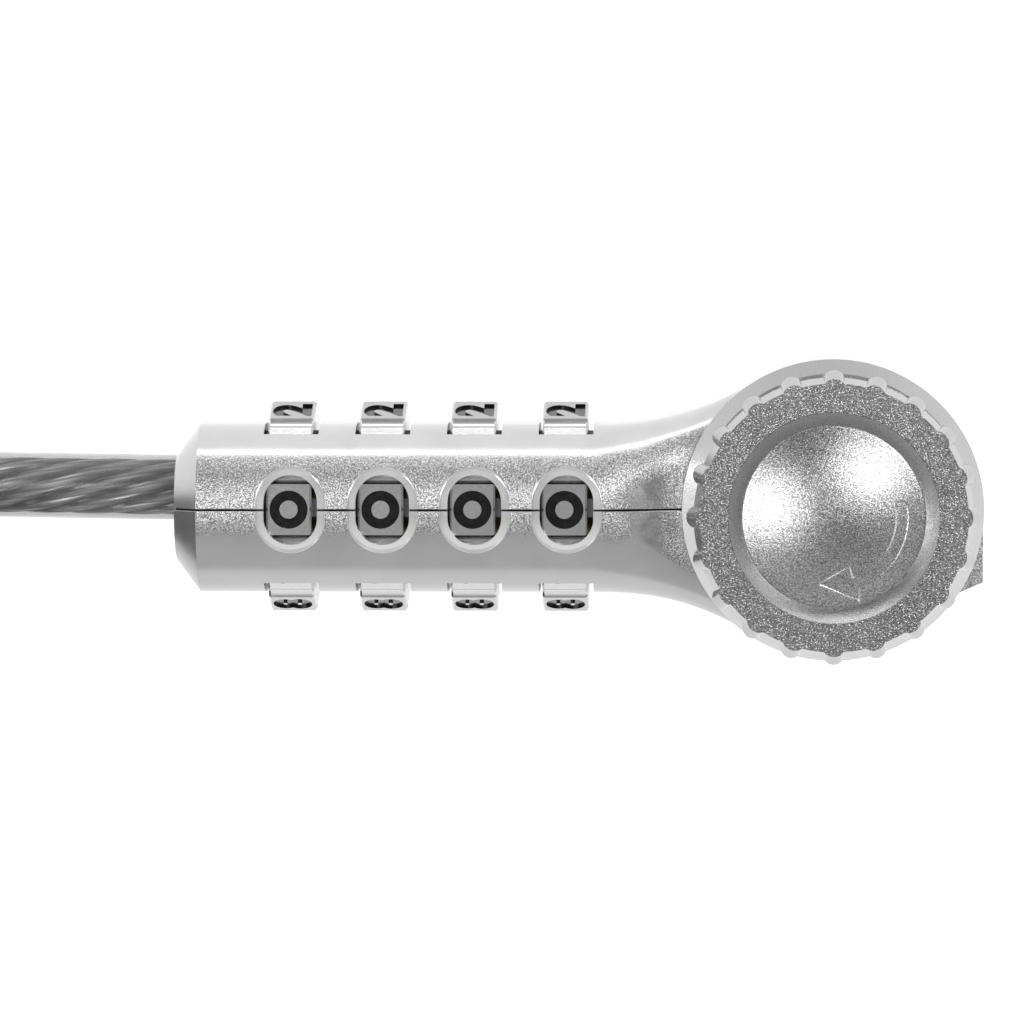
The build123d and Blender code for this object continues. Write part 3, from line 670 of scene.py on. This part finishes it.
stations = [0.0, 0.08, 0.2, 0.38, 0.55]
stations += [0.9 + 0.33 * n for n in range(41)]
stations += [SLEEVE_LENGTH - s for s in (0.55, 0.38, 0.2, 0.08, 0.0)]
sleeve_mesh = lofted("crimped_sleeve", [sleeve_ring(s) for s in stations])
shade_smooth(sleeve_mesh, 50)
crimped_sleeve = new_object("crimped_sleeve", sleeve_mesh, "housing")
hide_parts("loop_sleeve")

TIE_ANGLES = (8.0, 196.0)
TIE_SPAN = 18.0
TIE_THICK = 0.6
COIL_R = 28.0
TIE_STEPS = 14


def tie_outline(offset):
    """Radius and height of points round the bundle, offset out from the cable's surface."""
    points = []
    half_wide = TURN_PITCH + offset
    low = TIE_THICK - offset
    high = COIL_TOP + offset
    corner = 2.6 + offset
    middle = (low + high) / 2
    for quarter in range(4):
        right = 1 if quarter in (0, 3) else -1
        top = 1 if quarter in (0, 1) else -1
        for k in range(9):
            angle = radians(90 * quarter + 90 * k / 8)
            points.append((
                COIL_R + right * (half_wide - corner) + corner * cos(angle),
                middle + top * ((high - low) / 2 - corner) + corner * sin(angle),
            ))
        # Down or up the long sides the strap dips between the turns
        if quarter in (1, 3):
            for k in range(1, 20):
                way = k / 20
                start = high - corner if quarter == 1 else low + corner
                end = low + corner if quarter == 1 else high - corner
                height = start + (end - start) * way
                turn = (height - FIRST_LAYER) / TURN_PITCH
                dip = 0.22 * (0.5 - 0.5 * cos(2 * pi * turn))
                points.append((COIL_R + right * (half_wide - dip), height))
    return points


def tie_mesh(name, first, span, inner, outer):
    """A strap round the bundle from angle first over span degrees."""
    rings = []
    for step in range(TIE_STEPS + 1):
        angle = radians(first + span * step / TIE_STEPS)
        edge = min(step, TIE_STEPS - step)
        thin = 0.12 if edge == 0 else 0.0
        ring = []
        for line in (tie_outline(inner + thin), tie_outline(outer - thin)):
            ring.append([
                Vector((
                    COIL_CENTRE[0] + radius * cos(angle),
                    COIL_CENTRE[1] + radius * sin(angle),
                    height,
                )) * MM
                for radius, height in line
            ])
        rings.append(ring)
    mesh = bpy.data.meshes.new(name)
    around = len(rings[0][0])
    vertices = [p for ring in rings for line in ring for p in line]
    faces = []
    for step in range(TIE_STEPS):
        base = step * 2 * around
        ahead = base + 2 * around
        for k in range(around):
            n = (k + 1) % around
            faces.append((base + k, ahead + k, ahead + n, base + n))
            outer, outer_ahead = base + around, ahead + around
            faces.append((outer + k, outer + n, outer_ahead + n, outer_ahead + k))
    for base in (0, TIE_STEPS * 2 * around):
        for k in range(around):
            n = (k + 1) % around
            faces.append((base + k, base + n, base + around + n, base + around + k))
    mesh.from_pydata(vertices, [], faces)
    face_outward(mesh)
    shade_smooth(mesh, 40)
    return mesh


coil_tie_straps = []
for number, angle in enumerate(TIE_ANGLES, start=1):
    mesh = tie_mesh(f"tie_strap_{number}", angle, TIE_SPAN, 0.02, TIE_THICK)
    coil_tie_straps.append(new_object(f"tie_strap_{number}", mesh, "housing"))
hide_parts("coil_ties")

# ---------------------------------------------------------------- digits on the dials

DIGIT_HEIGHT = 3.3
DIGIT_WIDTH = 3.1
DIGIT_DEPTH = 0.22
RING_OUTER = 1.6
RING_INNER = 0.76


def ring_outline(radius, steps=40):
    """Points of a circle."""
    angles = [2 * pi * k / steps for k in range(steps)]
    return [(radius * cos(angle), radius * sin(angle)) for angle in angles]


def digit_curve(digit):
    """A filled flat curve of one digit, which digit_solid centres and sizes to the dial's digits.
    """
    if digit == 0:
        data = bpy.data.curves.new("digit", "CURVE")
        data.dimensions = "2D"
        data.fill_mode = "BOTH"
        for radius in (RING_OUTER, RING_INNER):
            spline = data.splines.new("POLY")
            outline = ring_outline(radius)
            spline.points.add(len(outline) - 1)
            for point, (x, y) in zip(spline.points, outline):
                point.co = (x, y, 0, 1)
            spline.use_cyclic_u = True
        return data
    data = bpy.data.curves.new("digit", "FONT")
    data.body = str(digit)
    data.size = 4.6
    data.offset = 0.27  # thickens the strokes
    data.resolution_u = 4
    return data


def digit_solid(digit):
    """Vertices and faces of a digit as a solid from -depth to +depth, in millimetres."""
    data = digit_curve(digit)
    data.extrude = DIGIT_DEPTH
    probe = bpy.data.objects.new("probe", data)
    mesh = bpy.data.meshes.new_from_object(probe)
    bpy.data.objects.remove(probe)
    bpy.data.curves.remove(data)
    made = bmesh.new()
    made.from_mesh(mesh)
    bmesh.ops.remove_doubles(made, verts=made.verts, dist=0.0005)
    low = Vector((min(v.co.x for v in made.verts), min(v.co.y for v in made.verts)))
    high = Vector((max(v.co.x for v in made.verts), max(v.co.y for v in made.verts)))
    wide = DIGIT_WIDTH if digit not in (0, 1) else high.x - low.x
    tall = DIGIT_HEIGHT if digit != 0 else high.y - low.y
    for v in made.verts:
        v.co.x = (v.co.x - (low.x + high.x) / 2) * wide / (high.x - low.x)
        v.co.y = (v.co.y - (low.y + high.y) / 2) * tall / (high.y - low.y)
    bmesh.ops.recalc_face_normals(made, faces=made.faces)
    made.to_mesh(mesh)
    made.free()
    return mesh


digit_solids = [digit_solid(digit) for digit in range(10)]


def digit_cutter(name, x):
    """The ten digits as one solid, standing half sunk in the dial's flats."""
    joined = bmesh.new()
    for digit in range(10):
        angle = radians(36 * digit)
        outward = Vector((0, sin(angle), cos(angle)))
        up = Vector((-1, 0, 0))
        right = up.cross(outward)
        place = Vector((x, AXIS_Y, AXIS_Z)) + outward * DIAL_APOTHEM
        turn = Matrix((right, up, outward)).transposed().to_4x4()
        part = digit_solids[digit].copy()
        part.transform(Matrix.Translation(place) @ turn)
        joined.from_mesh(part)
        bpy.data.meshes.remove(part)
    mesh = bpy.data.meshes.new(name)
    joined.to_mesh(mesh)
    joined.free()
    return mesh


def drop_stored_normals(mesh):
    """Remove the normals that came with the CAD mesh, which a cut makes wrong."""
    if "custom_normal" in mesh.attributes:
        mesh.attributes.remove(mesh.attributes["custom_normal"])


def engraved_copy(node, name, cutter, materials):
    """A CAD node's shape with a cutter's solids cut out of it, as a mesh of its own."""
    mesh = nodes[node].data.copy()
    made = bmesh.new()
    made.from_mesh(mesh)
    bmesh.ops.remove_doubles(made, verts=made.verts, dist=0.002 * MM)
    made.to_mesh(mesh)
    made.free()
    drop_stored_normals(mesh)
    # The cut is made at a thousand times the size, where it is exact
    mesh.transform(Matrix.Scale(1 / MM, 4))
    mesh.materials.clear()
    for material in materials:
        mesh.materials.append(material)
    cutter.materials.append(materials[1])
    work = bpy.data.objects.new(name, mesh)
    knife = bpy.data.objects.new("knife", cutter)
    scene.collection.objects.link(work)
    scene.collection.objects.link(knife)
    cut = work.modifiers.new("cut", "BOOLEAN")
    cut.operation = "DIFFERENCE"
    cut.solver = "FAST"
    cut.object = knife
    bpy.context.view_layer.update()
    finished = work.evaluated_get(bpy.context.evaluated_depsgraph_get())
    result = bpy.data.meshes.new_from_object(finished)
    drop_stored_normals(result)
    result.transform(Matrix.Scale(MM, 4))
    bpy.data.objects.remove(work)
    bpy.data.objects.remove(knife)
    result.name = name
    return result


# ---------------------------------------------------------------- materials on the pieces

NODE_FINISH = {
    "upper_shell": shell_plating,
    "lower_shell": shell_plating,
    "head_collar": collar_plating,
    "knob": knob_plating,
    "knob_cap": cap_plating,
    "knob_washer": ring_brass,
    "nose_block": shell_plating,
    "dial_tube": ring_brass,
    "detent_spring": spring_wire,
    "spring_stop": ring_brass,
    "bolt_spring": spring_wire,
    "cable_ferrule": bright_steel,
    "locking_bolt": bright_steel,
    "lock_cam": spindle_steel,
    "spindle": spindle_steel,
    "spindle_clip": spring_wire,
    "shell_dowels": screw_steel,
    "collar_rivets": spindle_steel,
    "anchor_pins": spindle_steel,
    "knob_screw": spindle_steel,
    "reset_screw": screw_steel,
}
for number in range(1, 5):
    NODE_FINISH[f"gate_ring_{number}"] = ring_brass
    NODE_FINISH[f"dial_{number}"] = dial_plating
for node in ("cable", "cable_coil", "coil_ties", "loop_sleeve", "loop_eye"):
    NODE_FINISH[node] = jacket
for node, material in NODE_FINISH.items():
    nodes[node].data.materials.clear()
    nodes[node].data.materials.append(material)

for thing, material in (
    (cable_strands, strand),
    (loop_strands, strand),
    (crimped_sleeve, alloy),
    (coil_tie_straps[0], strap),
    (coil_tie_straps[1], strap),
):
    thing.data.materials.clear()
    thing.data.materials.append(material)

for number, x in enumerate(DIAL_X, start=1):
    name = f"dial_{number}_engraved"
    mesh = engraved_copy(f"dial_{number}", name, digit_cutter(name, x), (dial_plating, paint))
    shade_smooth(mesh, 25)
    engraved = new_object(name, mesh, f"dial_wheel_{number}")
    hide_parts(f"dial_{number}")

# ---------------------------------------------------------------- floor and light

floor_mesh = bpy.data.meshes.new("floor")
floor_mesh.from_pydata([(-3, -3, 0), (3, -3, 0), (3, 3, 0), (-3, 3, 0)], [], [(0, 1, 2, 3)])
floor_plane = new_object("floor", floor_mesh)
floor_finish = Finish("floor")
floor_tone = floor_finish.noise(60.0, 2.0)
floor_finish.set("Base Color", floor_finish.ramp(floor_tone, [(0.3, 0.59), (0.7, 0.61)]))
floor_finish.set("Roughness", 0.9)
floor_finish.set("Emission Color", (1.0, 1.0, 1.0))
floor_finish.set("Emission Strength", 0.68)
floor_mesh.materials.append(floor_finish.material)


def softbox(name, place, size, power, target=(-0.03, 0.0, 0.014)):
    """A rectangular lamp that faces the lock."""
    data = bpy.data.lights.new(name, "AREA")
    data.shape = "RECTANGLE"
    data.size, data.size_y = size
    data.energy = power
    lamp = new_object(name, data)
    aim(lamp, place, target, (0, 0.1, 1))


softbox("softbox_left", (-0.45, 0.05, 0.82), (0.27, 0.40), 2.9)
softbox("softbox_right", (0.30, 0.30, 0.82), (0.26, 0.34), 2.7)
softbox("softbox_back", (-0.03, 0.85, 0.16), (1.2, 0.18), 1.8)

# Grey of the sky by height, from the horizon at 0 to straight up at 1
SKY = [(0.0, 0.86), (0.25, 0.84), (0.6, 0.78), (0.85, 0.58), (0.95, 0.32), (1.0, 0.26)]
SKY_TILT = 0.22  # how far the dark top leans towards +Y

world = bpy.data.worlds.new("studio")
scene.world = world
world.use_nodes = True
sky = world.node_tree
background = sky.nodes["Background"]
direction = sky.nodes.new("ShaderNodeTexCoord")
axes = sky.nodes.new("ShaderNodeSeparateXYZ")
sky.links.new(direction.outputs["Generated"], axes.inputs["Vector"])
tilt = sky.nodes.new("ShaderNodeMath")
tilt.operation = "MULTIPLY_ADD"
tilt.inputs[1].default_value = SKY_TILT
sky.links.new(axes.outputs["Y"], tilt.inputs[0])
sky.links.new(axes.outputs["Z"], tilt.inputs[2])
heights = sky.nodes.new("ShaderNodeValToRGB")
sky.links.new(tilt.outputs[0], heights.inputs["Fac"])
while len(heights.color_ramp.elements) < len(SKY):
    heights.color_ramp.elements.new(0.5)
for element, (height, grey) in zip(heights.color_ramp.elements, SKY):
    element.position = height
    element.color = (grey, grey, grey, 1.0)
sky.links.new(heights.outputs["Color"], background.inputs["Color"])
background.inputs["Strength"].default_value = 1.0
scene.view_settings.view_transform = "Standard"
